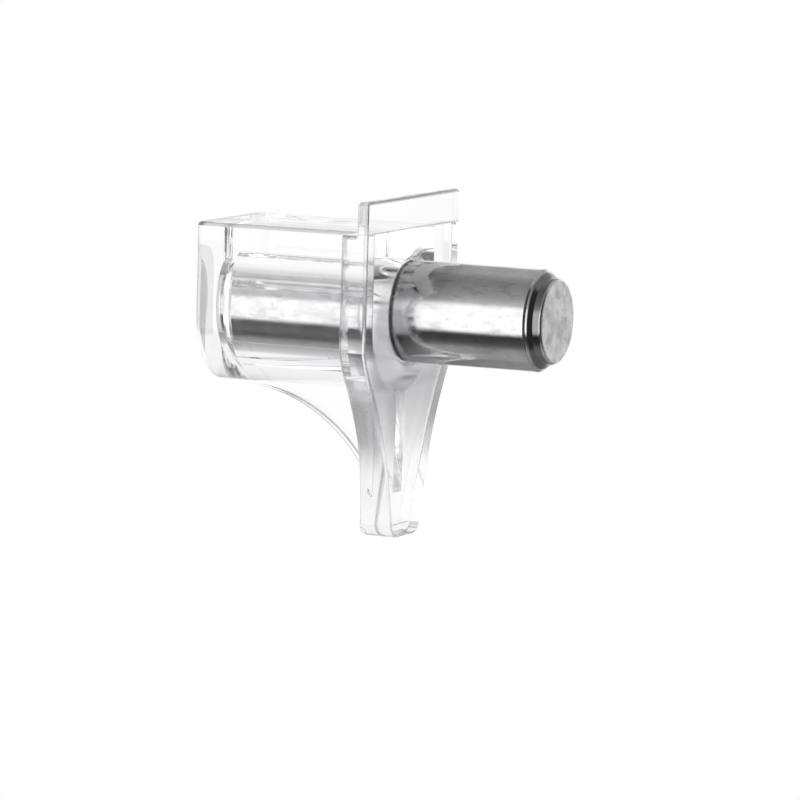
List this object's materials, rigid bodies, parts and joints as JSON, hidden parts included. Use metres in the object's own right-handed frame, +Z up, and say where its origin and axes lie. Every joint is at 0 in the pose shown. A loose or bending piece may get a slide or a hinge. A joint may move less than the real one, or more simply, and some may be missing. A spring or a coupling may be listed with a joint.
{
  "type": "shelf support pin",
  "caption": "Clear plastic shelf support on a steel pin: a flat-topped block with a rounded underside, a back plate with a low stop, and a tapered leg braced by a curved rib.",
  "frame": {"origin": "on the pin's axis, in the face of the plate that rests against the cabinet side", "axes": "+X along the pin towards its free tip, +Z up towards the shelf, Y across the plate"},
  "size_m": [0.0179, 0.0108, 0.0167],
  "materials": {
    "clear_plastic": "clear, colourless, polished moulding",
    "steel": "bright plated, fine drawn grain along the shank"
  },
  "bodies": {
    "root": {"support_body": "clear_plastic", "steel_pin": "steel"}
  },
  "joints": []
}
